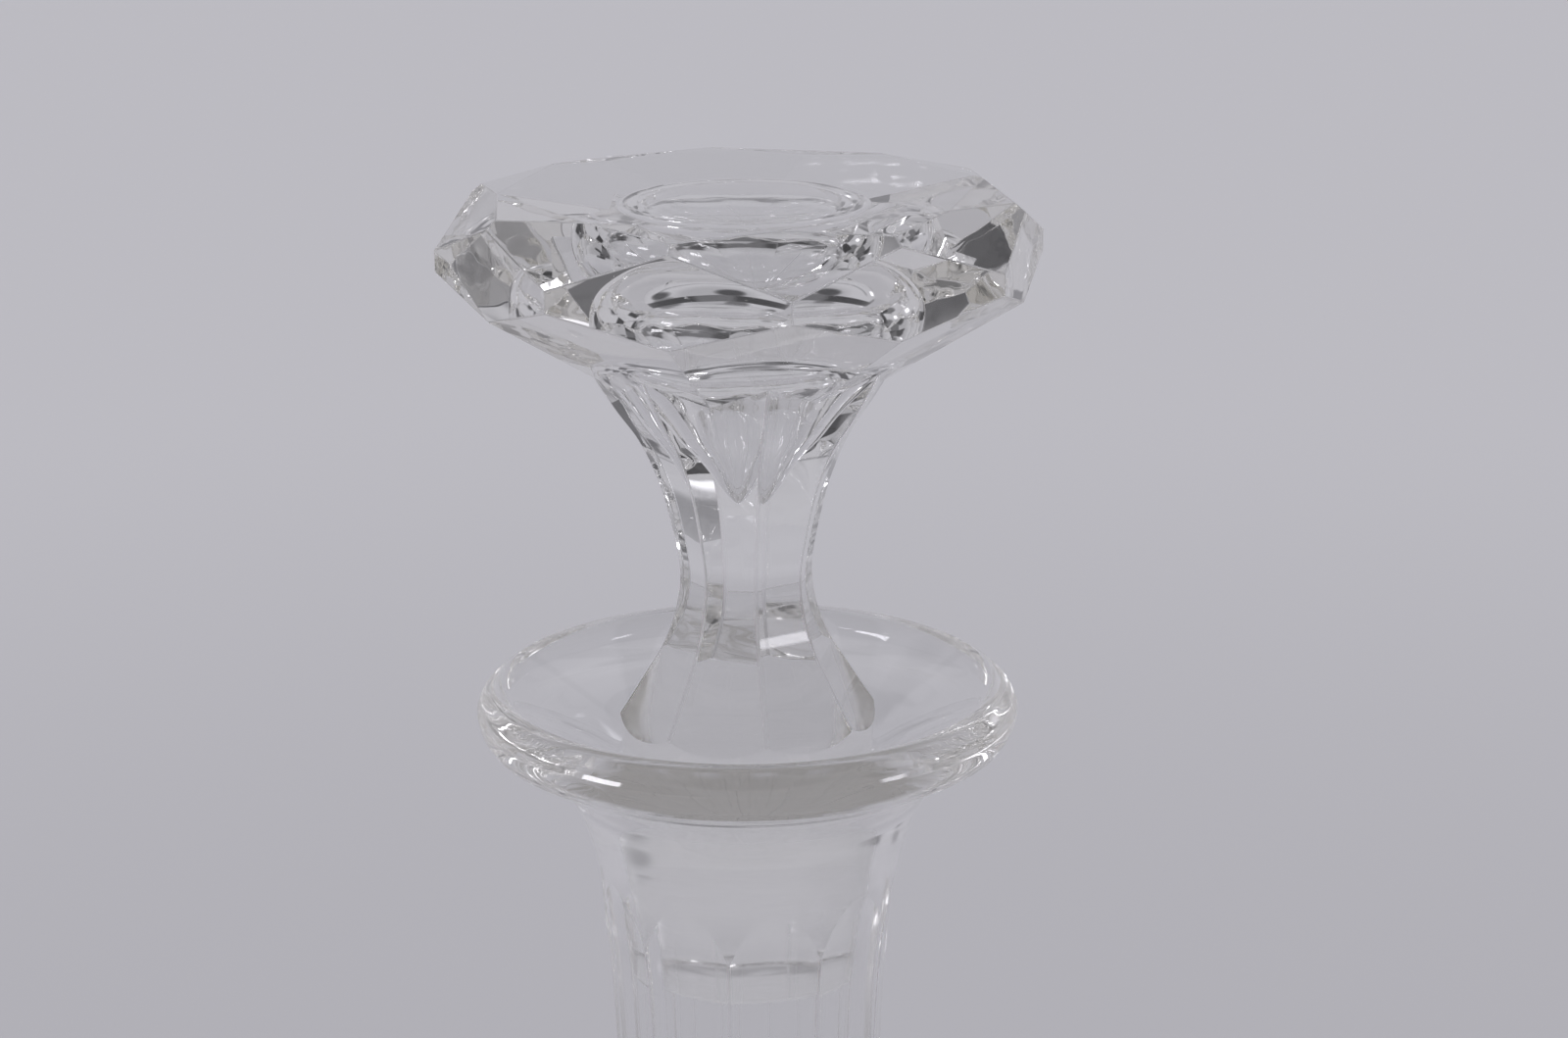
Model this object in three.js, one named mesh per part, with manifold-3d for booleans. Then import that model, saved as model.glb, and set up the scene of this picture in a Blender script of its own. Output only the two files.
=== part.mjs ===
// Cut crystal decanter and its ground-in stopper, in millimetres.
// +Z is up, the bottle stands on z = 0, and both pieces are turned about the Z axis.
// Azimuth 0 faces -Y and grows towards +X.
import * as THREE from "three";
import { mergeVertices } from "three/addons/utils/BufferGeometryUtils.js";
import ManifoldModule from "manifold-3d";

// Driving dimensions of the bottle's body and foot
const BASE_R = 46.2;
const BASE_BEVEL = 1.4;
const FOOT_TOP = 22;
const FLOOR_Z = 10.5;
const BODY_OUTLINE = [
  [49, 25],
  [52.6, 50],
  [53.8, 78],
  [49.4, 106],
  [36.8, 126],
  [21.2, 146],
  [15.6, 165],
  [15.1, 200],
];
const HOLLOW_OUTLINE = [
  [10.8, 190],
  [10.4, 172],
  [15.2, 146],
  [30.2, 126],
  [42.8, 106],
  [46.8, 78],
  [45.6, 50],
  [41, 26],
  [32.5, 14],
  [18, FLOOR_Z],
];

// Driving dimensions of the neck and lip, with heights above the lip's widest ring
const LIP_Z = 229;
const NECK_OUTLINE = [
  [15.1, -23],
  [15.55, -17],
  [17.45, -10.5],
  [20.3, -6.3],
  [22.8, -4.4],
  [25, -3.3],
];
const LIP_OUTLINE = [
  [26.4, -2.55],
  [27.2, -1.35],
  [27.48, 0],
  [27.35, 0.65],
  [27, 1.35],
  [26.4, 2],
  [25.7, 2.5],
  [24.8, 2.6],
  [24, 2.25],
  [21.4, 0.45],
  [19, -1.35],
  [16.6, -3.4],
  [14.4, -5.7],
  [13.3, -7.2],
];
const LIP_TOP = 2.6;

// Driving dimensions of the panels cut up the body and neck, as the radius of their corners
const NECK_PANELS = 10;
const NECK_EDGE_AZIMUTH = -7.2;
const PANEL_CORNER_OUTLINE = [
  [50.2, 8],
  [48.2, 13.5],
  [46.7, 18],
  [BASE_R, FOOT_TOP],
  [47.7, 32],
  [51.4, 50],
  [53, 78],
  [48.4, 106],
  [36, 126],
  [20.4, 146],
  [14.6, 165],
  [13.9, 182],
  [14.3, 196],
  [15.1, 206],
  [16.35, 212],
  [18.6, 217],
  [24, 221],
];

// Driving dimensions of the ground cone that the stopper sits in
const CONE_TOP_R = 13.05;
const CONE_TOP_DROP = 0.4;
const CONE_TAPER = 0.073;
const SEAT_TOP_DROP = 8.4;
const PEG_DROP = 28;
const PEG_BEVEL = 0.7;
const SEAT_GAP = 0.3;
const SEAT_PAST_PEG = 0.6;

// Driving dimensions of the stopper's head, with heights above the lip's widest ring
const HEAD_SIDES = 8;
const HEAD_EDGE_AZIMUTH = 9;
const HEAD_CORNER_R = 30.1;
const HEAD_CORNER_TOP = 47.9;
const TABLE_TOP = 53.2;
const TABLE_CORNER_R = 23.9;
const STAR_SLOPE = 0.15;
const UNDERSIDE_SLOPE = 0.66;
const UNDERSIDE_KNEE_R = 26.02;
const UNDERSIDE_KNEE_TOP = 43.1;
const UNDERSIDE_INNER_R = 9;

// Driving dimensions of the stem's corners and of the bubble and its vent, in the same heights
const STEM_CORNER_OUTLINE = [
  [14.2, -1.5],
  [12.9, -0.05],
  [10.25, 4.1],
  [8.4, 7.2],
  [7.15, 10.8],
  [6.78, 15],
  [7.9, 20.75],
  [9, 24.4],
  [10.75, 28.2],
  [13.1, 31.6],
  [16.2, 36.6],
];
const STEM_CAP_R = 16.8;
const STEM_CAP_TOP = 37.6;
const COLLAR_CLEAR_R = 18;
const COLLAR_CLEAR_DROP = 3.4;
const VENT_R = 0.55;
const BUBBLE_OUTLINE = [
  [VENT_R, 23.2],
  [1.7, 24.9],
  [4.2, 29.2],
  [7.4, 33.7],
  [10.8, 37.4],
  [12.4, 41],
  [11.6, 44.3],
  [8.2, 46.8],
  [3.6, 47.5],
];
const BUBBLE_TOP = 47.6;

// Room that the cutting shapes leave round what they cut, and how far they reach past it
const PAST = 1;
const PANEL_CLEAR_R = BASE_R + 20;
const PANEL_CLEAR_Z = LIP_Z - 5;
const PANEL_START_Z = 2;
const HEAD_FAR = 40;
const HEAD_LOW = 20;
const BLANK_CLEAR_R = HEAD_CORNER_R + 4;
const BLANK_SHOULDER = 12;

// Fineness of the turned and cut surfaces
const BOTTLE_STEPS = 50;
const STOPPER_STEPS = 56;
const BUBBLE_STEPS = 32;
const BODY_RINGS = 22;
const NECK_RINGS = 8;
const LIP_RINGS = 20;
const PANEL_RINGS = 36;
const STEM_RINGS = 26;
const BUBBLE_RINGS = 20;
const MERGE_WITHIN = 1e-4;

const wasm = await ManifoldModule();
wasm.setup();

const crystal = new THREE.MeshStandardMaterial({
  color: 0xdcdfe2,
  roughness: 0.04,
  metalness: 0,
  transparent: true,
  opacity: 0.4,
});

function radians(degrees) {
  return THREE.MathUtils.degToRad(degrees);
}

// Heights that are given above the lip's widest ring
function aboveLip(points) {
  return points.map(([radius, height]) => [radius, LIP_Z + height]);
}

// A smooth outline through a few points, as a list of [radius, height]
function smooth(points, steps) {
  const curve = new THREE.SplineCurve(points.map(([r, z]) => new THREE.Vector2(r, z)));
  return curve.getPoints(steps).map((p) => [p.x, p.y]);
}

// The closed solid that an outline makes when it is turned about Z in a number of flats
function turned(outline, sides, edgeAzimuth = 0) {
  const points = outline.map(([r, z]) => new THREE.Vector2(r, z));
  const geometry = new THREE.LatheGeometry(points, sides, radians(edgeAzimuth));
  geometry.rotateX(Math.PI / 2);
  return toSolid(geometry);
}

// A closed mesh as a solid, without the triangles that have no width at the axis
function toSolid(geometry) {
  geometry.deleteAttribute("normal");
  geometry.deleteAttribute("uv");
  const merged = mergeVertices(geometry, MERGE_WITHIN);
  const index = merged.index.array;
  const triangles = [];
  for (let i = 0; i < index.length; i += 3) {
    const [a, b, c] = [index[i], index[i + 1], index[i + 2]];
    if (a !== b && b !== c && c !== a) {
      triangles.push(a, b, c);
    }
  }
  const vertProperties = new Float32Array(merged.attributes.position.array);
  const triVerts = new Uint32Array(triangles);
  return new wasm.Manifold(new wasm.Mesh({ numProp: 3, vertProperties, triVerts }));
}

function toMesh(name, solid) {
  const { vertProperties, triVerts } = solid.getMesh();
  const geometry = new THREE.BufferGeometry();
  geometry.setAttribute("position", new THREE.BufferAttribute(new Float32Array(vertProperties), 3));
  geometry.setIndex(new THREE.BufferAttribute(new Uint32Array(triVerts), 1));
  geometry.computeVertexNormals();
  const mesh = new THREE.Mesh(geometry, crystal);
  mesh.name = name;
  return mesh;
}

// Radius of the stopper's ground cone at a height above the lip's widest ring
function coneRadius(height) {
  return CONE_TOP_R + CONE_TAPER * (height + CONE_TOP_DROP);
}

// The ground seat in the neck: the peg's cone, wider by the gap, to just below the peg's foot
function seat() {
  const heights = [-SEAT_TOP_DROP, -PEG_DROP - SEAT_PAST_PEG];
  return aboveLip(heights.map((height) => [coneRadius(height) + SEAT_GAP, height]));
}

// The bottle before it is cut: a round blank, hollow, open at the mouth
function bottleBlank() {
  const outline = [
    [0, 0],
    [BASE_R - BASE_BEVEL, 0],
    [BASE_R, BASE_BEVEL],
    [BASE_R, FOOT_TOP],
    ...smooth(BODY_OUTLINE, BODY_RINGS),
    ...smooth(aboveLip(NECK_OUTLINE), NECK_RINGS),
    ...smooth(aboveLip(LIP_OUTLINE), LIP_RINGS),
    ...seat(),
    ...smooth(HOLLOW_OUTLINE, BODY_RINGS),
    [0, FLOOR_Z],
  ];
  return turned(outline, BOTTLE_STEPS, NECK_EDGE_AZIMUTH);
}

// The ten flat panels that are cut up the body and neck. Their corner radius stands clear of
// the blank at the foot and under the lip, so each panel ends there in an arch.
function panelCut() {
  const top = LIP_Z + LIP_TOP + PAST;
  const outline = [
    [0, -PAST],
    [PANEL_CLEAR_R, -PAST],
    [PANEL_CLEAR_R, PANEL_START_Z],
    ...smooth(PANEL_CORNER_OUTLINE, PANEL_RINGS),
    [PANEL_CLEAR_R, PANEL_CLEAR_Z],
    [PANEL_CLEAR_R, top],
    [0, top],
  ];
  return turned(outline, NECK_PANELS, NECK_EDGE_AZIMUTH);
}

function makeBottle() {
  return bottleBlank().intersect(panelCut());
}

// Corner radius of a flat-sided ring whose flats stand at this distance from the axis
function cornerOf(flat) {
  return flat / Math.cos(Math.PI / HEAD_SIDES);
}

// A flat-sided solid that the cuts of the head leave, with its edges on the stem's corners
function cutOnEdges(outline) {
  return turned(aboveLip(outline), HEAD_SIDES, HEAD_EDGE_AZIMUTH);
}

// The same with its edges half a side round, over the middle of the stem's panels
function cutBetweenEdges(outline) {
  const halfSide = 180 / HEAD_SIDES;
  return turned(aboveLip(outline), HEAD_SIDES, HEAD_EDGE_AZIMUTH + halfSide);
}

// The upright sides of the head, which the facets above and below leave as diamonds
function girdleCut() {
  return cutOnEdges([
    [0, HEAD_LOW],
    [HEAD_CORNER_R, HEAD_LOW],
    [HEAD_CORNER_R, TABLE_TOP],
    [0, TABLE_TOP],
  ]);
}

// The large crown facets, which run from the table's corners down to the girdle's
function crownCut() {
  const slope = (TABLE_TOP - HEAD_CORNER_TOP) / (HEAD_CORNER_R - TABLE_CORNER_R);
  return cutBetweenEdges([
    [0, HEAD_LOW],
    [cornerOf(HEAD_FAR), HEAD_LOW],
    [cornerOf(HEAD_FAR), TABLE_TOP - slope * (HEAD_FAR - TABLE_CORNER_R)],
    [cornerOf(TABLE_CORNER_R), TABLE_TOP],
    [0, TABLE_TOP],
  ]);
}

// The shallow star facets on the edges of the flat table
function starCut() {
  const tableFlat = TABLE_CORNER_R * Math.cos(Math.PI / HEAD_SIDES);
  return cutOnEdges([
    [0, HEAD_LOW],
    [cornerOf(HEAD_FAR), HEAD_LOW],
    [cornerOf(HEAD_FAR), TABLE_TOP - STAR_SLOPE * (HEAD_FAR - tableFlat)],
    [TABLE_CORNER_R, TABLE_TOP],
    [0, TABLE_TOP],
  ]);
}

// The underside facets, which run in from the girdle to the stem
function undersideCut() {
  const height = (flat) => UNDERSIDE_KNEE_TOP + UNDERSIDE_SLOPE * (flat - UNDERSIDE_KNEE_R);
  return cutBetweenEdges([
    [0, height(UNDERSIDE_INNER_R)],
    [cornerOf(UNDERSIDE_INNER_R), height(UNDERSIDE_INNER_R)],
    [cornerOf(HEAD_FAR), height(HEAD_FAR)],
    [cornerOf(HEAD_FAR), TABLE_TOP + PAST],
    [0, TABLE_TOP + PAST],
  ]);
}

function makeHead() {
  return girdleCut().intersect(crownCut()).intersect(starCut()).intersect(undersideCut());
}

// The eight hollow-curved panels of the stem, which flare at the foot into the collar
function makeStem() {
  return cutOnEdges([
    [0, -PEG_DROP - PAST],
    [COLLAR_CLEAR_R, -PEG_DROP - PAST],
    [COLLAR_CLEAR_R, -COLLAR_CLEAR_DROP],
    ...smooth(STEM_CORNER_OUTLINE, STEM_RINGS),
    [STEM_CAP_R, STEM_CAP_TOP],
    [0, STEM_CAP_TOP],
  ]);
}

// The round blank of the stopper: the ground peg, and room for the head above it
function stopperBlank() {
  const outline = [
    [0, -PEG_DROP],
    [coneRadius(-PEG_DROP) - PEG_BEVEL, -PEG_DROP],
    [coneRadius(PEG_BEVEL - PEG_DROP), PEG_BEVEL - PEG_DROP],
    [CONE_TOP_R, -CONE_TOP_DROP],
    [CONE_TOP_R, PAST],
    [BLANK_CLEAR_R, BLANK_SHOULDER],
    [BLANK_CLEAR_R, TABLE_TOP + PAST],
    [0, TABLE_TOP + PAST],
  ];
  return turned(aboveLip(outline), STOPPER_STEPS, HEAD_EDGE_AZIMUTH);
}

// The air bubble blown in the head. On the real piece it is sealed; here a fine vent runs from
// its tip down through the foot of the peg.
function bubbleAndVent() {
  const outline = [
    [0, -PEG_DROP - PAST],
    [VENT_R, -PEG_DROP - PAST],
    ...smooth(BUBBLE_OUTLINE, BUBBLE_RINGS),
    [0, BUBBLE_TOP],
  ];
  return turned(aboveLip(outline), BUBBLE_STEPS);
}

function makeStopper() {
  return makeHead().add(makeStem()).intersect(stopperBlank()).subtract(bubbleAndVent());
}

const decanter = new THREE.Group();
decanter.name = "decanter";
decanter.add(toMesh("bottle", makeBottle()));
decanter.add(toMesh("stopper", makeStopper()));

export default decanter;
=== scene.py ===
# %% [markdown]
# # A cut crystal decanter
# The object is a blown bottle of clear lead crystal with a stopper ground to fit its neck.
# Both pieces were made round and then cut flat on a wheel, and polished. This script builds
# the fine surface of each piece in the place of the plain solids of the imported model, which it
# loads first. Everything is in metres, with +Z up and the bottle standing on z = 0.

# %% Load the frame
import math

import bmesh
import bpy
from mathutils import Matrix, Vector


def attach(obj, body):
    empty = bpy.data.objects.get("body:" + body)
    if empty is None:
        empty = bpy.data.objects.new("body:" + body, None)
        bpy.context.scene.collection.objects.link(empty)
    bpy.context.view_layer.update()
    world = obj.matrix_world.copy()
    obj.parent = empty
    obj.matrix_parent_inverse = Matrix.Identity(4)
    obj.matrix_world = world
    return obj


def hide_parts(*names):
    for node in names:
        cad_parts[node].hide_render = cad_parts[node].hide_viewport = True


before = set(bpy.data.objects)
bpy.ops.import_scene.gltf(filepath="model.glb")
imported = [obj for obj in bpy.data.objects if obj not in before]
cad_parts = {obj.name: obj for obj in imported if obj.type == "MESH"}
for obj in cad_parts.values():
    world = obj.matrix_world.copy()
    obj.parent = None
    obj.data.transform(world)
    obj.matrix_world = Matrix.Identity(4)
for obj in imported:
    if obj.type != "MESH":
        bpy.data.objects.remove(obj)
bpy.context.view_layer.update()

print("pieces in the frame:", sorted(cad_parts))

# %% [markdown]
# ## Measures
# Sizes are easier to read in millimetres, so they are written that way and turned into metres
# where a shape is made. Heights on the stopper and neck are counted from the ring of the lip,
# its widest circle, because everything there was measured from it. An azimuth is an angle
# round the axis: 0 faces the camera's side and it grows to the right.

# %% Units and places
MM = 0.001
LIP_Z = 229.0
AXIS = Vector((0, 0, 1))
BACK = Vector((0, 1, 0))
RIGHT = Vector((1, 0, 0))


def at(radius, azimuth, z):
    """A point in metres, from a radius and height in millimetres and an azimuth in degrees."""
    angle = math.radians(azimuth)
    return Vector((radius * math.sin(angle), -radius * math.cos(angle), z)) * MM


def above_lip(outline):
    """The same outline with its heights counted from the base and not from the lip's ring."""
    return [(radius, LIP_Z + height) for radius, height in outline]


print("the lip's ring stands", LIP_Z, "mm above the base")

# %% [markdown]
# ## The camera
# The photograph looks down on the stopper from close by, a little to the right of its middle.
# The camera's place was worked out from the corners of the cut facets and the oval of the lip:
# how much the lip's ring narrows gives the tilt, and how fast sizes shrink towards the back
# gives the distance. The picture hangs a third of a degree out of level, and so does this view.

# %% Camera
IMAGE_WIDTH = 1600
FOCAL_PIXELS = 3076
SENSOR_WIDTH = 36
NEAREST, FARTHEST = 0.01, 100
AIM = Vector((3.83, 0, LIP_Z + 19.46)) * MM
CAMERA_DISTANCE = 302.4 * MM
CAMERA_PITCH = math.radians(16.11)
CAMERA_ROLL = math.radians(-0.3)

camera = bpy.data.objects.new("camera", bpy.data.cameras.new("camera"))
bpy.context.scene.collection.objects.link(camera)
camera.data.sensor_width = SENSOR_WIDTH
camera.data.lens = FOCAL_PIXELS * SENSOR_WIDTH / IMAGE_WIDTH
camera.data.clip_start = NEAREST
camera.data.clip_end = FARTHEST
tilt = Matrix.Rotation(math.radians(90) - CAMERA_PITCH, 4, "X")
looking = tilt @ Matrix.Rotation(CAMERA_ROLL, 4, "Z")
step_back = Matrix.Translation((0, 0, CAMERA_DISTANCE))
camera.matrix_world = Matrix.Translation(AIM) @ looking @ step_back
bpy.context.scene.camera = camera
print("camera at", tuple(round(c, 4) for c in camera.matrix_world.translation))
print("lens in millimetres:", camera.data.lens)

# %% [markdown]
# ## Small helpers for shading nodes
# A material here is a chain of nodes. Making a node, setting its inputs and joining its output
# takes three lines each time, so one helper does the three. Two more make the steps that come
# back most: arithmetic, and a soft change from one value to another.

# %% Node helpers
def add_node(tree, kind, inputs=None, **settings):
    """Makes a shader node. An input is a plain value, or another node's output socket."""
    node = tree.nodes.new(kind)
    for name, value in settings.items():
        setattr(node, name, value)
    for name, value in (inputs or {}).items():
        if isinstance(value, bpy.types.NodeSocket):
            tree.links.new(value, node.inputs[name])
        else:
            node.inputs[name].default_value = value
    return node


def maths(tree, operation, first, second=0.0):
    """One step of arithmetic between two sockets or numbers."""
    return add_node(tree, "ShaderNodeMath", {0: first, 1: second}, operation=operation).outputs[0]


def fade(tree, value, start, end, low=0.0, high=1.0):
    """Goes softly from low to high while a value goes from start to end."""
    return add_node(tree, "ShaderNodeMapRange", {
        "Value": value, "From Min": start, "From Max": end, "To Min": low, "To Max": high,
    }, interpolation_type="SMOOTHSTEP").outputs["Result"]


def linear(red, green, blue):
    """A colour read off a screen, 0 to 255, as the light that a shader wants."""
    def channel(value):
        share = value / 255
        return share / 12.92 if share <= 0.04045 else ((share + 0.055) / 1.055) ** 2.4
    return (channel(red), channel(green), channel(blue), 1)


print("a middle grey of the screen as light:", linear(128, 128, 128))

# %% [markdown]
# ## The sheet
# The bottle was photographed on a pale grey sheet with a faint violet cast. From this height
# the camera sees nothing but that sheet, so the stage is one broad floor, a little darker close
# by than far off. Three quarters of its tone is its own glow for what looks at it, straight,
# in a reflection or through the glass, so that the background stays even. The last quarter is
# lit, and keeps the soft shadow of the object.

# %% Floor
FLOOR_RADIUS = 60.0
FLOOR_STEPS = 96
FLOOR_COLOUR = linear(200, 199, 205)
PAPER_NEAR = linear(177, 176, 182)
PAPER_FAR = linear(192, 191, 197)
NEAR, FAR = 0.35, 1.1
GLOW_SHARE = 0.75

shape = bmesh.new()
bmesh.ops.create_circle(shape, cap_ends=True, segments=FLOOR_STEPS, radius=FLOOR_RADIUS)
floor = bpy.data.objects.new("floor", bpy.data.meshes.new("floor"))
shape.to_mesh(floor.data)
shape.free()
bpy.context.scene.collection.objects.link(floor)

paper = bpy.data.materials.new("floor_paper")
paper.use_nodes = True
tree = paper.node_tree
tree.nodes.clear()
spot = add_node(tree, "ShaderNodeTexCoord").outputs["Object"]
reach = add_node(tree, "ShaderNodeVectorMath", {0: spot}, operation="LENGTH").outputs["Value"]
tone = add_node(tree, "ShaderNodeMix", {
    "Factor": fade(tree, reach, NEAR, FAR), 6: PAPER_NEAR, 7: PAPER_FAR,
}, data_type="RGBA").outputs[2]
ray = add_node(tree, "ShaderNodeLightPath").outputs
seen = maths(tree, "MAXIMUM", ray["Is Camera Ray"], ray["Is Glossy Ray"])
seen = maths(tree, "MAXIMUM", seen, ray["Is Transmission Ray"])
lit = add_node(tree, "ShaderNodeBsdfDiffuse", {"Color": FLOOR_COLOUR})
even = add_node(tree, "ShaderNodeEmission", {"Color": tone})
mixed = add_node(tree, "ShaderNodeMixShader", {
    0: maths(tree, "MULTIPLY", seen, GLOW_SHARE), 1: lit.outputs[0], 2: even.outputs[0],
})
add_node(tree, "ShaderNodeOutputMaterial", {"Surface": mixed.outputs[0]})
floor.data.materials.append(paper)
print("floor radius in metres:", FLOOR_RADIUS)

# %% [markdown]
# ## The room round the glass
# Clear glass has no colour of its own to light: it shows what stands round it, bent through its
# facets. A quite even room would leave the crystal nearly invisible. So the room is a pale
# surround, in which each dark gap and each bright box stands for something in a real studio.
# It is made in the world's shader, as a brightness for every direction. The cosine between a
# direction and the middle of a patch says whether it falls inside that patch.

# %% Directions in the room
SURROUND_COLOUR = linear(190, 189, 195)

world = bpy.data.worlds.new("studio")
bpy.context.scene.world = world
world.use_nodes = True
room = world.node_tree
room.nodes.clear()
direction = add_node(room, "ShaderNodeTexCoord").outputs["Generated"]


def towards(place):
    """The direction of a lamp or a gap, from its azimuth and elevation in degrees."""
    azimuth, elevation = math.radians(place["azimuth"]), math.radians(place["elevation"])
    flat = math.cos(elevation)
    return Vector((math.sin(azimuth) * flat, -math.cos(azimuth) * flat, math.sin(elevation)))


def along(vector):
    """How far the direction points along a vector: 1 is the same way and 0 is across."""
    inputs = {0: direction, 1: vector}
    return add_node(room, "ShaderNodeVectorMath", inputs, operation="DOT_PRODUCT").outputs["Value"]


def cosine(degrees):
    """The cosine of an angle in degrees."""
    return math.cos(math.radians(degrees))


def sine(degrees):
    """The sine of an angle in degrees."""
    return math.sin(math.radians(degrees))


print("colour of the surround:", SURROUND_COLOUR)

# %% [markdown]
# ## Dark gaps
# Between white walls and paper a studio has dark openings, and each facet that looks at one
# turns dark. The gaps stand where the dark facets of the head and stem look, so the stopper
# gets its contrast. Each is a round patch that is darkest inside "full" degrees and ends at
# "edge" degrees from its middle, and "level" is what it leaves of the surround's brightness.

# %% Dark gaps
GAPS = {
    "front_ceiling": {"azimuth": 0, "elevation": 52, "full": 14, "edge": 30, "level": 0.35},
    "back_ceiling": {"azimuth": 180, "elevation": 72, "full": 20, "edge": 36, "level": 0.75},
    "back_right": {"azimuth": 158, "elevation": 61, "full": 6, "edge": 14, "level": 0.1},
    "right": {"azimuth": 70, "elevation": 32, "full": 8, "edge": 15, "level": 0.12},
    "high_right": {"azimuth": 78, "elevation": 74, "full": 6, "edge": 14, "level": 0.25},
    "low_right": {"azimuth": 110, "elevation": 6, "full": 9, "edge": 16, "level": 0.3},
    "left": {"azimuth": -102, "elevation": 43, "full": 12, "edge": 22, "level": 0.3},
    "back_left": {"azimuth": -130, "elevation": 35, "full": 5, "edge": 13, "level": 0.12},
    "back_low": {"azimuth": 148, "elevation": 5, "full": 1, "edge": 8, "level": 0.5},
    "front_left": {"azimuth": -35, "elevation": 10, "full": 10, "edge": 20, "level": 0.45},
}

level = 1.0
for gap in GAPS.values():
    edge, full = cosine(gap["edge"]), cosine(gap["full"])
    dimmed = fade(room, along(towards(gap)), edge, full, 1.0, gap["level"])
    level = maths(room, "MINIMUM", level, dimmed)
print("dark gaps:", ", ".join(GAPS))

# %% [markdown]
# ## A dark arch and a fold
# A dark band also crosses overhead from side to side, a little behind the object. It ends a
# little above the horizon and is less dark at its crown. It draws the dark lines in the bubble
# and under the head. Behind the object, a fold across the backdrop makes a fainter line.

# %% Dark arch and fold
ARCH_MIDDLE = 0.19
ARCH_HALF = 0.17
ARCH_FADE = 0.05
ARCH_LEVEL = 0.07
ARCH_FOOT = 8
ARCH_FOOT_FADE = 3
CROWN_FULL, CROWN_EDGE = 0.15, 0.35
CROWN_LEVEL = 0.25
FOLD_ELEVATION = 30
FOLD_HALF = 2.0
FOLD_CORE = 0.4
FOLD_LEVEL = 0.6
FOLD_SIDE_EDGE, FOLD_SIDE_FULL = 0.5, 0.6


def dimmed_where(first, second, low):
    """Drops from 1 to a low level where two masks are both 1."""
    both = maths(room, "MULTIPLY", first, second)
    return maths(room, "SUBTRACT", 1.0, maths(room, "MULTIPLY", 1 - low, both))


off_arch = maths(room, "ABSOLUTE", maths(room, "SUBTRACT", along(BACK), ARCH_MIDDLE))
in_arch = fade(room, off_arch, ARCH_HALF, ARCH_HALF - ARCH_FADE)
foot_edge, foot_full = sine(ARCH_FOOT - ARCH_FOOT_FADE), sine(ARCH_FOOT + ARCH_FOOT_FADE)
arch = dimmed_where(in_arch, fade(room, along(AXIS), foot_edge, foot_full), ARCH_LEVEL)
sideways = maths(room, "ABSOLUTE", along(RIGHT))
crown = fade(room, sideways, CROWN_FULL, CROWN_EDGE, CROWN_LEVEL, 0.0)
level = maths(room, "MINIMUM", level, maths(room, "MAXIMUM", arch, crown))

off_fold = maths(room, "ABSOLUTE", maths(room, "SUBTRACT", along(AXIS), sine(FOLD_ELEVATION)))
in_fold = fade(room, off_fold, sine(FOLD_HALF), sine(FOLD_CORE * FOLD_HALF))
behind = fade(room, along(BACK), FOLD_SIDE_EDGE, FOLD_SIDE_FULL)
level = maths(room, "MULTIPLY", level, dimmed_where(in_fold, behind, FOLD_LEVEL))
print("arch and fold: brightness falls to", ARCH_LEVEL, "and", FOLD_LEVEL)

# %% [markdown]
# ## Soft boxes
# Two lamps behind white cloth stand at the left and right and give the lip its two short
# highlights, and a small one behind at the right lights the stem. Each box is "long" by "tall"
# degrees, "edge" is the share of that size over which it fades out, and "level" is the light
# that it adds, where the surround's own is 1.

# %% Soft boxes
BOXES = {
    "soft_left": {"azimuth": -62, "elevation": 14, "long": 17, "tall": 9, "edge": 0.1, "level": 26},
    "soft_right": {"azimuth": 63, "elevation": 15, "long": 10, "tall": 5, "edge": 0.4, "level": 12},
    "back_right": {"azimuth": 136, "elevation": 17, "long": 9, "tall": 7, "edge": 0.6, "level": 3},
}
BOX_SIDE_EDGE, BOX_SIDE_FULL = 0.4, 0.5

for box in BOXES.values():
    middle = towards(box)
    across = AXIS.cross(middle).normalized()
    upright = middle.cross(across)
    inside = fade(room, along(middle), BOX_SIDE_EDGE, BOX_SIDE_FULL)
    for vector, size in ((across, box["long"]), (upright, box["tall"])):
        off = maths(room, "ABSOLUTE", along(vector))
        outer, inner = (0.5 + box["edge"] / 2) * size, (0.5 - box["edge"] / 2) * size
        inside = maths(room, "MULTIPLY", inside, fade(room, off, sine(outer), sine(inner)))
    level = maths(room, "ADD", level, maths(room, "MULTIPLY", inside, box["level"]))
sky = add_node(room, "ShaderNodeBackground", {"Color": SURROUND_COLOUR, "Strength": level})
add_node(room, "ShaderNodeOutputWorld", {"Surface": sky.outputs["Background"]})
print("soft boxes:", ", ".join(BOXES))

# %% [markdown]
# ## The lamp over the sheet
# The last quarter of the sheet's tone needs light that falls on it. A sun lamp gives that
# light. It is hidden from reflections and from what is seen through glass, because the boxes
# already make all the highlights.

# %% Lamp
LAMP_PLACE = {"azimuth": -60, "elevation": 62}
LAMP_STRENGTH = 1.3
LAMP_SPREAD = math.radians(12)

light = bpy.data.lights.new("over_the_sheet", "SUN")
light.energy = LAMP_STRENGTH
light.angle = LAMP_SPREAD
holder = bpy.data.objects.new("over_the_sheet", light)
holder.rotation_euler = towards(LAMP_PLACE).to_track_quat("Z", "Y").to_euler()
holder.visible_glossy = False
holder.visible_transmission = False
bpy.context.scene.collection.objects.link(holder)
lamp_share = LAMP_STRENGTH * towards(LAMP_PLACE).z / math.pi
print("light from the lamp on the floor, as a share of a full level:", lamp_share)

# %% [markdown]
# ## A smooth outline
# A glassblower turns the piece on an iron, so its blank is a solid of revolution, and all that
# has to be drawn is its outline. A few measured points are enough, with a smooth curve through
# them. Each stretch of the curve is worked out from the two points at its ends and one more on
# either side, so it passes through every point without a corner.

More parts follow.
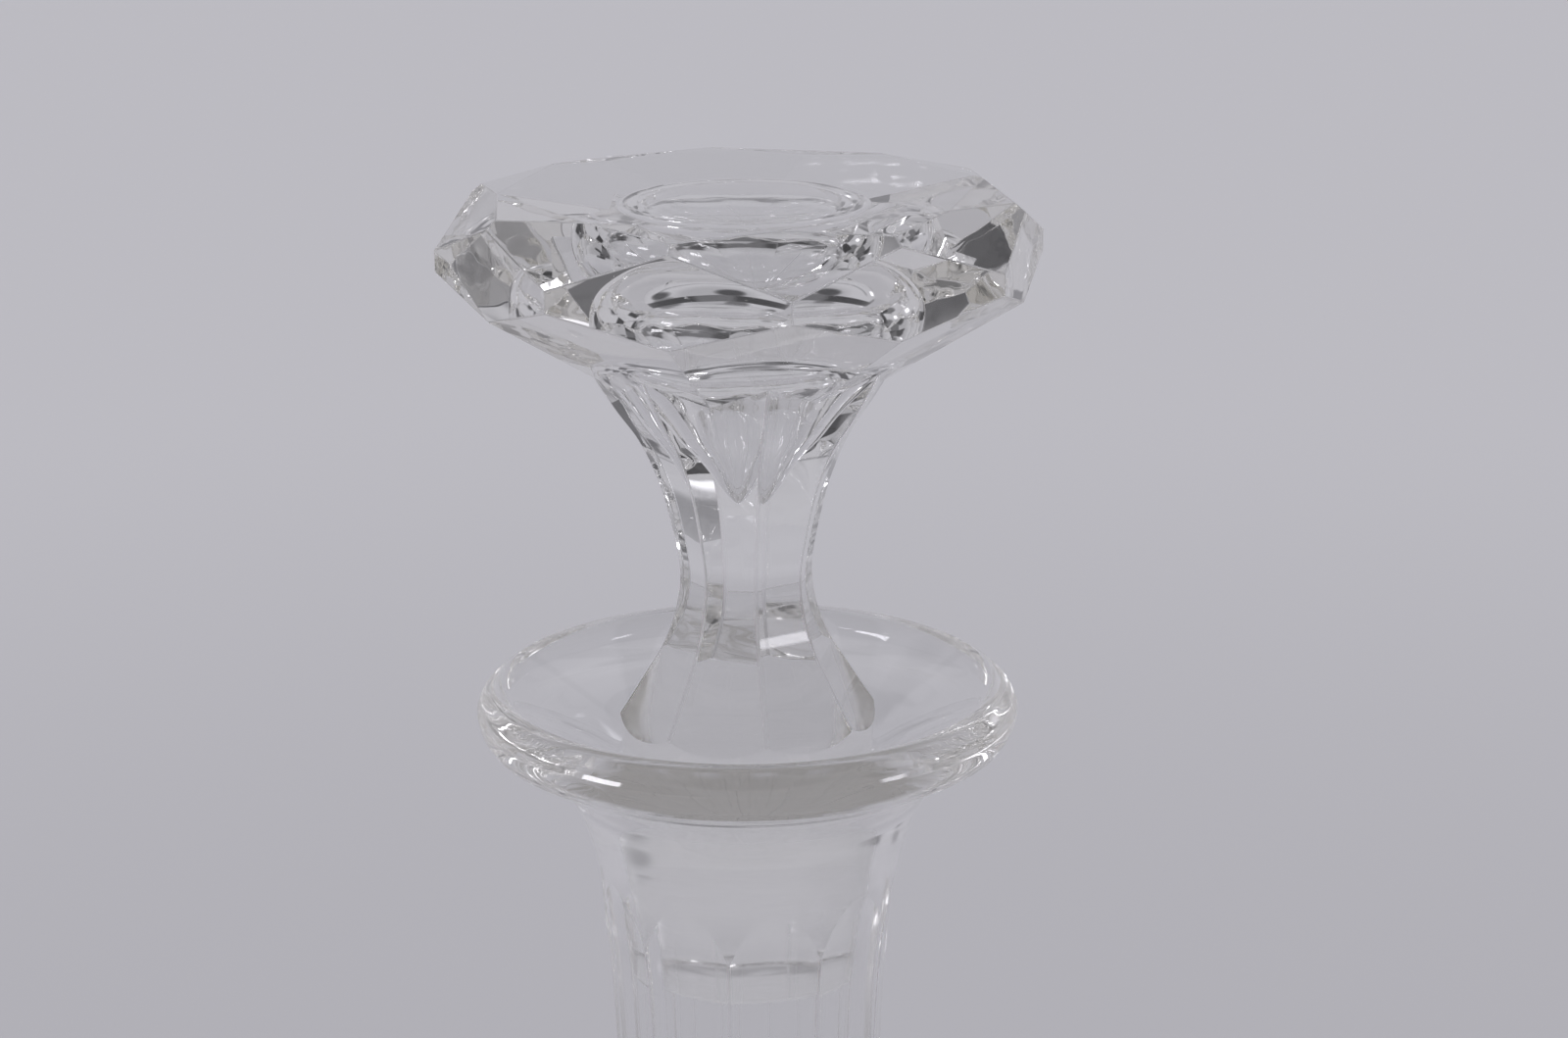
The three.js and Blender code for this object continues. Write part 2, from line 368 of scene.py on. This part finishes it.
# %% Smooth outline
def smooth(points, steps):
    """A smooth curve through a few points (radius, height), as a longer list of points."""
    padded = [points[0], *points, points[-1]]
    spans = len(points) - 1
    curve = []
    for step in range(steps + 1):
        place = step / steps * spans
        i = min(int(place), spans - 1)
        t = place - i
        a, b, c, d = padded[i:i + 4]
        curve.append(tuple(
            b[k] + 0.5 * t * (c[k] - a[k] + t * (
                2 * a[k] - 5 * b[k] + 4 * c[k] - d[k] + t * (3 * (b[k] - c[k]) + d[k] - a[k])
            )) for k in (0, 1)
        ))
    return curve


print("three points as five:", smooth([(10, 0), (12, 5), (10, 10)], 4))

# %% [markdown]
# ## Spinning an outline
# The Spin operator carries an outline round the axis. Spun in 200 steps it is a round blank.
# Spun in 8 or 10 steps the same outline has flat panels, which is what the cutter's wheel
# leaves. The spin meets itself at its start and on the axis, so doubles are merged there, and
# the normals are then made to point outwards.

# %% Spinning
MERGE = 1e-7


def spun(outline, sides, edge_azimuth=0.0):
    """The closed solid that an outline makes when it is spun about the axis in some steps."""
    bm = bmesh.new()
    chain = [bm.verts.new(at(radius, edge_azimuth, z)) for radius, z in outline]
    edges = [bm.edges.new(pair) for pair in zip(chain, chain[1:])]
    bmesh.ops.spin(
        bm, geom=chain + edges, cent=(0, 0, 0), axis=AXIS, dvec=(0, 0, 0),
        angle=math.tau, steps=sides, use_merge=True,
    )
    bmesh.ops.remove_doubles(bm, verts=bm.verts, dist=MERGE)
    bmesh.ops.dissolve_degenerate(bm, edges=bm.edges, dist=MERGE)
    bmesh.ops.recalc_face_normals(bm, faces=bm.faces)
    return bm


print("points closer than", MERGE, "m are merged")

# %% [markdown]
# ## Rounded edges
# No edge of cut glass is quite sharp. Polishing rounds it off, and years of handling wear it
# dull, which shows as a fine pale line. So the edges get a narrow bevel, and its faces keep a
# mark that the crystal's roughness reads later. A face's material index carries the mark,
# because the index goes through the booleans unharmed.

# %% Rounded edges and marks
BLOWN = 0
CUT = 1
FINE_EDGE = 2
WORN_EDGE = 3
WEAR = {FINE_EDGE: 0.2, WORN_EDGE: 0.3}


def round_edges(bm, edges, width, steps):
    """Rounds edges off by a width in millimetres, and gives back the narrow new faces."""
    bevelled = bmesh.ops.bevel(
        bm, geom=edges, offset=width * MM, offset_type="OFFSET",
        segments=steps, profile=0.5, affect="EDGES", material=-1,
    )
    return bevelled["faces"]


def as_object(bm, name, mark=BLOWN, edges=(), edge_mark=WORN_EDGE):
    """Puts a bmesh in a new object, with one mark on all its faces and one on its edges."""
    for face in bm.faces:
        face.material_index = mark
    for face in edges:
        face.material_index = edge_mark
    piece = bpy.data.objects.new(name, bpy.data.meshes.new(name))
    bm.to_mesh(piece.data)
    bm.free()
    bpy.context.scene.collection.objects.link(piece)
    return piece


print("roughness added by wear, for each mark:", WEAR)

# %% [markdown]
# ## Cutting one solid with another
# What the wheel leaves of a blank is what the blank and the cut shape share. The Boolean
# modifier works that out. Its result is kept as the piece's own mesh, so the object stays
# plain and the tool can go.

# %% Combining solids
def combine(piece, tool, operation):
    """Joins the tool to the piece, or keeps what they share, and removes the tool."""
    step = piece.modifiers.new(operation.lower(), "BOOLEAN")
    step.operation = operation
    step.solver = "MANIFOLD"
    step.object = tool
    evaluated = piece.evaluated_get(bpy.context.evaluated_depsgraph_get())
    result = bpy.data.meshes.new_from_object(evaluated)
    piece.modifiers.clear()
    piece.data = result
    bpy.data.objects.remove(tool)
    print(piece.name, "after", operation.lower(), len(result.polygons), "faces")


# %% [markdown]
# ## The stopper's head
# The head is ground like a gem: a thick block, with a flat table on top, eight shallow star
# facets along its edges, eight large crown facets, eight upright diamonds round the girdle and
# eight facets underneath. Each is one plane. Cutting a block with a plane is what the wheel
# does, and Bisect does the same to a mesh: it cuts, throws the outside away, and the hole is
# filled with one flat face.

# %% Grinding
SIDES = 8
TURN = 360 / SIDES
HALF_TURN = TURN / 2
KNEE_TOP = 43.1


def grind(bm, point, normal):
    """Cuts the block with a plane, removes what is outside it and closes the cut."""
    cut = bmesh.ops.bisect_plane(
        bm, geom=bm.verts[:] + bm.edges[:] + bm.faces[:], dist=MERGE,
        plane_co=point, plane_no=normal, clear_outer=True,
    )
    rim = [part for part in cut["geom_cut"] if isinstance(part, bmesh.types.BMEdge)]
    bmesh.ops.edgeloop_fill(bm, edges=rim)


def grind_round(bm, radius, height, slope, first_azimuth):
    """Eight sloping planes round the head, which face up above the knee and down at it."""
    for turn in range(SIDES):
        azimuth = first_azimuth + turn * TURN
        outwards = at(1, azimuth, 0).normalized()
        normal = (outwards * slope + AXIS) if height > KNEE_TOP else (outwards * slope - AXIS)
        grind(bm, at(radius, azimuth, LIP_Z + height), normal)


print("one cut every", TURN, "degrees")

# %% [markdown]
# The block starts as an eight-sided prism. The crown facets are cut over its corners and the
# underside facets below them, so each upright side is left nearly a diamond, tall in its middle
# and low at its ends. The star facets lie between the crown facets, along the table. Each
# underside facet goes through a measured point, the knee, where the head turns under.

# %% Head
EDGE_AZIMUTH = 9.0
CORNER_R = 30.1
CORNER_TOP = 47.9
TABLE_TOP = 53.2
TABLE_CORNER_R = 23.9
STAR_SLOPE = 0.15
UNDERSIDE_SLOPE = 0.66
UNDERSIDE_INNER_R = 9.0
KNEE_R = 26.02
FLAT_LIMIT = math.radians(1)
FACET_EDGE = 0.12
FACET_EDGE_STEPS = 4

crown_slope = (TABLE_TOP - CORNER_TOP) / (CORNER_R - TABLE_CORNER_R)
table_flat_r = TABLE_CORNER_R * math.cos(math.pi / SIDES)
inner_bottom = KNEE_TOP + UNDERSIDE_SLOPE * (UNDERSIDE_INNER_R - KNEE_R)
head_shape = spun(above_lip([
    (0, inner_bottom), (CORNER_R, inner_bottom), (CORNER_R, TABLE_TOP), (0, TABLE_TOP),
]), SIDES, EDGE_AZIMUTH)
bmesh.ops.dissolve_limit(
    head_shape, angle_limit=FLAT_LIMIT, verts=head_shape.verts, edges=head_shape.edges,
)
grind_round(head_shape, TABLE_CORNER_R, TABLE_TOP, crown_slope, EDGE_AZIMUTH)
grind_round(head_shape, table_flat_r, TABLE_TOP, STAR_SLOPE, EDGE_AZIMUTH + HALF_TURN)
grind_round(head_shape, KNEE_R, KNEE_TOP, UNDERSIDE_SLOPE, EDGE_AZIMUTH)
bmesh.ops.recalc_face_normals(head_shape, faces=head_shape.faces)
print("facets on the head:", len(head_shape.faces))
facet_edges = round_edges(head_shape, head_shape.edges[:], FACET_EDGE, FACET_EDGE_STEPS)
stopper = as_object(head_shape, "cut_stopper", CUT, facet_edges, FINE_EDGE)

# %% [markdown]
# ## The stem and its collar
# Under the head eight hollow panels run down the stem and flare out into a collar. The wheel
# rounds each panel along its length and leaves it flat across, so the stem is the outline of
# its corners spun in eight steps. The corners themselves were polished off and have worn,
# which shows as a narrow pale band down each edge, so the long edges get a wider bevel than
# the facets. The collar's scallops come by themselves, where the flat panels run out through
# the round peg.

# %% Finding the long edges
CORNER_SLACK = 0.01


def long_edges(bm, sides, edge_azimuth, low, high):
    """The edges that run up a spun solid at its corners, between two heights in millimetres."""
    found = []
    for edge in bm.edges:
        ends = [end.co / MM for end in edge.verts]
        if not all(low < end.z < high for end in ends):
            continue
        turns = [
            (math.degrees(math.atan2(end.x, -end.y)) - edge_azimuth) * sides / 360 for end in ends
        ]
        upright = abs(turns[0] - turns[1]) < CORNER_SLACK
        if upright and abs(turns[0] - round(turns[0])) < CORNER_SLACK:
            found.append(edge)
    print("edges along the corners:", len(found))
    return found


# %% [markdown]
# The outline below gives the stem's corners from the collar up into the head. Below the
# collar the eight-sided shape steps out past the peg, so that it leaves the peg round.

# %% Stem
STEM_EDGE = 0.22
STEM_EDGE_STEPS = 6
STEM_STEPS = 120
STEM_END_SLACK = 0.1
PEG_DROP = 28.0
BELOW_PEG = -PEG_DROP - 1
COLLAR_CLEAR_R = 18.0
COLLAR_CLEAR_DROP = 3.4
STEM_CAP_R = 16.8
STEM_CAP_TOP = 37.6
STEM_CORNERS = [
    (14.2, -1.5), (12.9, -0.05), (10.25, 4.1), (8.4, 7.2), (7.15, 10.8), (6.78, 15),
    (7.9, 20.75), (9, 24.4), (10.75, 28.2), (13.1, 31.6), (16.2, 36.6),
]

stem_shape = spun(above_lip([
    (0, BELOW_PEG), (COLLAR_CLEAR_R, BELOW_PEG), (COLLAR_CLEAR_R, -COLLAR_CLEAR_DROP),
    *smooth(STEM_CORNERS, STEM_STEPS), (STEM_CAP_R, STEM_CAP_TOP), (0, STEM_CAP_TOP),
]), SIDES, EDGE_AZIMUTH)
stem_low = LIP_Z + STEM_CORNERS[0][1] - STEM_END_SLACK
stem_high = LIP_Z + STEM_CORNERS[-1][1] + STEM_END_SLACK
corners = long_edges(stem_shape, SIDES, EDGE_AZIMUTH, stem_low, stem_high)
stem_edges = round_edges(stem_shape, corners, STEM_EDGE, STEM_EDGE_STEPS)
stem = as_object(stem_shape, "stem", CUT, stem_edges)

# %% [markdown]
# ## The peg
# The peg is the part that was ground into the neck: a cone whose side leans in by about 4
# degrees, with its foot slightly rounded. It is the round blank that the stem's panels are cut
# from, so the stem and the blank keep only what they share. Above the collar the blank widens
# past everything, so it trims nothing there.

# %% Peg
CONE_TOP_R = 13.05
CONE_TOP_DROP = 0.4
CONE_TAPER = 0.073
COLLAR_TOP = 1
PEG_BEVEL = 0.7
PEG_STEPS = 192
BLANK_R = CORNER_R + 4
BLANK_FOOT = 12


def cone_radius(height):
    """Radius of the ground cone at a height above the lip's ring."""
    return CONE_TOP_R + CONE_TAPER * (height + CONE_TOP_DROP)


peg_foot_r = cone_radius(-PEG_DROP)
blank = as_object(spun(above_lip([
    (0, -PEG_DROP), (peg_foot_r - PEG_BEVEL, -PEG_DROP),
    (peg_foot_r - 0.2 * PEG_BEVEL, 0.3 * PEG_BEVEL - PEG_DROP),
    (cone_radius(PEG_BEVEL - PEG_DROP), PEG_BEVEL - PEG_DROP),
    (CONE_TOP_R, -CONE_TOP_DROP), (CONE_TOP_R, COLLAR_TOP),
    (BLANK_R, BLANK_FOOT), (BLANK_R, TABLE_TOP), (0, TABLE_TOP),
]), PEG_STEPS, EDGE_AZIMUTH), "blank")
combine(stem, blank, "INTERSECT")
combine(stopper, stem, "UNION")

# %% [markdown]
# ## The bubble
# A large air bubble sits in the head, with its tip drawn down into the stem like a funnel. It
# is what makes the head sparkle. For a renderer a bubble in glass is a surface whose faces
# look into the air, which is the bubble's inside, so a closed spun shape is turned inside out
# and joined to the stopper's mesh.

# %% Bubble
BUBBLE_OUTLINE_STEPS = 110
BUBBLE_STEPS = 128
BUBBLE_WALL = [
    (0, 22.9), (0.6, 23.4), (1.7, 24.9), (4.2, 29.2), (7.4, 33.7), (10.8, 37.4), (12.4, 41),
    (11.6, 44.3), (8.2, 46.8), (3.6, 47.5), (0, 47.6),
]

bubble_shape = spun(above_lip(smooth(BUBBLE_WALL, BUBBLE_OUTLINE_STEPS)), BUBBLE_STEPS)
bmesh.ops.reverse_faces(bubble_shape, faces=bubble_shape.faces)
bubble_mesh = bpy.data.meshes.new("bubble")
bubble_shape.to_mesh(bubble_mesh)
bubble_shape.free()
joined = bmesh.new()
joined.from_mesh(stopper.data)
joined.from_mesh(bubble_mesh)
joined.to_mesh(stopper.data)
joined.free()
print("stopper with its bubble:", len(stopper.data.polygons), "faces")

# %% [markdown]
# ## The bottle
# The bottle is a round blank too, blown hollow, with a wide lip that was melted round in the
# fire. The top of the lip slopes in as a shallow dish, and a seat for the peg is ground into
# the neck below it. The mouth of the seat is eased into the dish, so no sharp corner shows
# through the neck. The outline goes up the outside, over the lip and down the inside.

# %% Bottle blank
BASE_R = 46.2
BASE_BEVEL = 1.4
FOOT_TOP = 22.0
FLOOR_Z = 10.5
SEAT_TOP_DROP = 10.0
SEAT_BELOW_PEG = 0.6
SEAT_GAP = 0.05
NECK_PANELS = 10
NECK_EDGE_AZIMUTH = -7.2
BOTTLE_STEPS = 200
BODY_STEPS, NECK_STEPS, RIM_STEPS = 90, 28, 66
BODY = [
    (49, 25), (52.6, 50), (53.8, 78), (49.4, 106), (36.8, 126), (21.2, 146), (15.6, 165),
    (15.1, 200),
]
NECK = [(15.1, -23), (15.55, -17), (17.45, -10.5), (20.3, -6.3), (22.8, -4.4), (25.0, -3.3)]
RIM = [
    (26.4, -2.55), (27.2, -1.35), (27.48, 0), (27.35, 0.65), (27, 1.35), (26.4, 2.0),
    (25.7, 2.5), (24.8, 2.6), (24, 2.25), (21.4, 0.45), (19, -1.35), (16.6, -3.4),
    (14.4, -5.7), (13.3, -7.2), (12.8, -8.2), (12.5, -9.2),
]
HOLLOW = [
    (10.8, 190), (10.4, 172), (15.2, 146), (30.2, 126), (42.8, 106), (46.8, 78), (45.6, 50),
    (41, 26), (32.5, 14), (18, FLOOR_Z),
]

seat_ends = (-SEAT_TOP_DROP, -PEG_DROP - SEAT_BELOW_PEG)
seat = [(cone_radius(height) + SEAT_GAP, height) for height in seat_ends]
bottle = as_object(spun([
    (0, 0), (BASE_R - BASE_BEVEL, 0), (BASE_R - 0.3 * BASE_BEVEL, 0.3 * BASE_BEVEL),
    (BASE_R, BASE_BEVEL), (BASE_R, FOOT_TOP), *smooth(BODY, BODY_STEPS),
    *above_lip(smooth(NECK, NECK_STEPS)), *above_lip(smooth(RIM, RIM_STEPS)),
    *above_lip(seat), *smooth(HOLLOW, BODY_STEPS), (0, FLOOR_Z),
], BOTTLE_STEPS, NECK_EDGE_AZIMUTH), "cut_bottle")
print("bottle blank:", len(bottle.data.polygons), "faces")

# %% [markdown]
# ## The cut panels
# Ten flat panels were then cut up the body and neck. Their corners are an outline too, spun in
# ten steps, and the bottle is what the blank and that shape share. The panels run out in small
# arches under the lip and above the foot, because there the round blank is narrower than the
# wheel's cut.

# %% Panels
PANEL_EDGE = 0.15
PANEL_EDGE_STEPS = 4
PANEL_STEPS = 160
PANEL_CLEAR_R = BASE_R + 20
PANEL_FOOT_SLACK, PANEL_TOP_SLACK = 1, 0.5
UNDER_BASE, OVER_FLOOR = -1, 2
UNDER_LIP, OVER_LIP = LIP_Z - 5, LIP_Z + 4
PANEL_CORNERS = [
    (50.2, 8), (48.2, 13.5), (46.7, 18), (BASE_R, FOOT_TOP), (47.7, 32), (51.4, 50), (53, 78),
    (48.4, 106), (36, 126), (20.4, 146), (14.6, 165), (13.9, 182), (14.3, 196), (15.1, 206),
    (16.35, 212), (18.6, 217), (24, 221),
]

panel_shape = spun([
    (0, UNDER_BASE), (PANEL_CLEAR_R, UNDER_BASE), (PANEL_CLEAR_R, OVER_FLOOR),
    *smooth(PANEL_CORNERS, PANEL_STEPS),
    (PANEL_CLEAR_R, UNDER_LIP), (PANEL_CLEAR_R, OVER_LIP), (0, OVER_LIP),
], NECK_PANELS, NECK_EDGE_AZIMUTH)
panel_low = PANEL_CORNERS[0][1] + PANEL_FOOT_SLACK
panel_high = PANEL_CORNERS[-1][1] - PANEL_TOP_SLACK
corners = long_edges(panel_shape, NECK_PANELS, NECK_EDGE_AZIMUTH, panel_low, panel_high)
panel_edges = round_edges(panel_shape, corners, PANEL_EDGE, PANEL_EDGE_STEPS)
combine(bottle, as_object(panel_shape, "panels", CUT, panel_edges), "INTERSECT")

# %% [markdown]
# ## Smooth and sharp
# Flat facets must stay flat to the light, and curved glass must look smooth. An edge is shaded
# sharp where blown and cut glass meet, and where its two faces meet at more than a limit. The
# limit is lower on cut glass, whose facets meet at small angles. The Weighted Normal modifier
# then lets each large facet set the shading of the narrow bevels round it. The marks of the
# worn edges end here as an attribute, "wear", which holds the roughness that they add.

# %% Shading of the surfaces
CURVE_LIMIT = math.radians(28)
CUT_LIMIT = math.radians(13)
WEIGHT = 100

for piece in (stopper, bottle):
    piece.data.shade_smooth()
    surface = bmesh.new()
    surface.from_mesh(piece.data)
    wear = surface.faces.layers.float.new("wear")
    for edge in surface.edges:
        marks = [min(face.material_index, CUT) for face in edge.link_faces]
        border = marks[0] != marks[-1]
        limit = CUT_LIMIT if marks[0] == CUT else CURVE_LIMIT
        edge.smooth = not border and edge.calc_face_angle(0) < limit
    for face in surface.faces:
        face[wear] = WEAR.get(face.material_index, 0)
        face.material_index = 0
    sharp = sum(not edge.smooth for edge in surface.edges)
    print(piece.name, "sharp edges:", sharp, "of", len(surface.edges))
    surface.to_mesh(piece.data)
    surface.free()
    evened = piece.modifiers.new("even_normals", "WEIGHTED_NORMAL")
    evened.keep_sharp = True
    evened.weight = WEIGHT

# %% [markdown]
# ## The ground cone
# The peg and its seat were ground with a wet abrasive so that they hold by friction, and they
# are less clear than the rest. Both lie on the same cone, so one mask over radius and height finds
# them. Each pair of numbers below is where the mask starts and where it is full.

# %% Mask of the ground cone
GROUND_RADII = ((13.35, 13.2), (10.6, 10.8))
GROUND_HEIGHTS = (
    (LIP_Z - 7.0, LIP_Z - 8.4), (LIP_Z - PEG_DROP - 0.8, LIP_Z - PEG_DROP - 0.2),
)


def ground_cone(tree, radius, height):
    """A mask that is 1 on the ground peg and seat, and fades out round them."""
    mask = 1.0
    for value, limits in ((radius, GROUND_RADII), (height, GROUND_HEIGHTS)):
        for start, full in limits:
            mask = maths(tree, "MULTIPLY", mask, fade(tree, value, start * MM, full * MM))
    return mask


print("ground between heights, in millimetres:", GROUND_HEIGHTS)

# %% [markdown]
# ## Crystal
# Lead crystal bends light more than window glass, with an index of 1.545, and is clear with the
# faintest olive grey. Hand polish is never quite flat, so a slow waviness lies over it, and
# much more of it on the cut stopper than on the bottle. The ground cone gets fine rings and
# more roughness, and the worn edges get more roughness alone. A Principled shader with full
# transmission is the glass, its roughness and bump come from patterns in the piece's own
# coordinates, and an absorption volume gives the tint that only thick glass shows.

# %% Crystal material
CRYSTAL_INDEX = 1.545
CRYSTAL_COLOUR = (0.985, 0.985, 0.985, 1)
TINT_COLOUR = (0.87, 0.86, 0.82, 1)
TINT_DENSITY = 7.5
POLISHED_ROUGHNESS = 0.006
GROUND_ROUGHNESS = (0.06, 0.12)
STREAK_START, STREAK_END = 0.4, 0.65
BUMP_HEIGHT = 0.00006
WAVES_SCALE = 160.0
RINGS_AROUND = 2.5
RINGS_SCALE = 2600.0
RINGS_RISE = 0.05
BOTTLE_WAVINESS = 0.12
STOPPER_WAVINESS = 1.0


def make_crystal(name, waviness):
    """Clear polished crystal, worn on its edges and ground dull on the peg and seat."""
    material = bpy.data.materials.new(name)
    material.use_nodes = True
    tree = material.node_tree
    shader = tree.nodes["Principled BSDF"]
    shader.inputs["Base Color"].default_value = CRYSTAL_COLOUR
    shader.inputs["Transmission Weight"].default_value = 1
    shader.inputs["IOR"].default_value = CRYSTAL_INDEX

    place = add_node(tree, "ShaderNodeTexCoord").outputs["Object"]
    x, y, z = add_node(tree, "ShaderNodeSeparateXYZ", {0: place}).outputs
    flat = add_node(tree, "ShaderNodeCombineXYZ", {0: x, 1: y}).outputs[0]
    radius = add_node(tree, "ShaderNodeVectorMath", {0: flat}, operation="LENGTH").outputs["Value"]
    around = maths(tree, "ARCTAN2", x, maths(tree, "MULTIPLY", y, -1.0))
    ground = ground_cone(tree, radius, z)

    waves = add_node(tree, "ShaderNodeTexNoise", {
        "Vector": place, "Scale": WAVES_SCALE, "Detail": 1.0, "Roughness": 0.4,
    }).outputs[0]
    turned = add_node(tree, "ShaderNodeCombineXYZ", {
        0: maths(tree, "MULTIPLY", around, RINGS_AROUND),
        1: maths(tree, "MULTIPLY", radius, RINGS_SCALE),
        2: maths(tree, "MULTIPLY", z, RINGS_SCALE),
    }).outputs[0]
    rings = add_node(tree, "ShaderNodeTexNoise", {
        "Vector": turned, "Scale": 1.0, "Detail": 2.0, "Roughness": 0.6,
    }).outputs[0]
    ring_rise = maths(tree, "MULTIPLY", rings, maths(tree, "MULTIPLY", ground, RINGS_RISE))
    rise = maths(tree, "ADD", maths(tree, "MULTIPLY", waves, waviness), ring_rise)
    bump = add_node(tree, "ShaderNodeBump", {
        "Height": rise, "Distance": BUMP_HEIGHT, "Strength": 1.0,
    })
    tree.links.new(bump.outputs[0], shader.inputs["Normal"])

    streaks = fade(tree, rings, STREAK_START, STREAK_END, *GROUND_ROUGHNESS)
    dull = maths(tree, "ADD", POLISHED_ROUGHNESS, maths(tree, "MULTIPLY", ground, streaks))
    worn = add_node(tree, "ShaderNodeAttribute", attribute_name="wear").outputs["Fac"]
    tree.links.new(maths(tree, "ADD", dull, worn), shader.inputs["Roughness"])

    tint = add_node(tree, "ShaderNodeVolumeAbsorption", {
        "Color": TINT_COLOUR, "Density": TINT_DENSITY,
    })
    tree.links.new(tint.outputs["Volume"], tree.nodes["Material Output"].inputs["Volume"])
    return material


bottle.data.materials.clear()
bottle.data.materials.append(make_crystal("bottle_crystal", BOTTLE_WAVINESS))
stopper.data.materials.clear()
stopper.data.materials.append(make_crystal("stopper_crystal", STOPPER_WAVINESS))
print("materials:", bottle.data.materials[0].name, stopper.data.materials[0].name)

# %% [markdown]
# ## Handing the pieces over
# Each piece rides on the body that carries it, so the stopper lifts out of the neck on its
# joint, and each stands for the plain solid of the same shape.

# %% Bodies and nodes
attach(bottle, "bottle")
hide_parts("bottle")
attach(stopper, "stopper")
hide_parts("stopper")
print("pieces handed over:", bottle.name, stopper.name)

# %% [markdown]
# ## How the picture is made
# Light crosses many surfaces on its way through cut glass, and a path that is cut short turns
# black. So the paths may be long. Colours are shown as they are written, with no film look.

# %% Light paths and colour
LONG_PATH = 96
SHORT_PATH = 4

scene = bpy.context.scene
scene.view_settings.view_transform = "Standard"
scene.cycles.max_bounces = LONG_PATH
scene.cycles.transmission_bounces = LONG_PATH
scene.cycles.glossy_bounces = LONG_PATH
scene.cycles.diffuse_bounces = SHORT_PATH
print("most surfaces on one light path:", LONG_PATH)
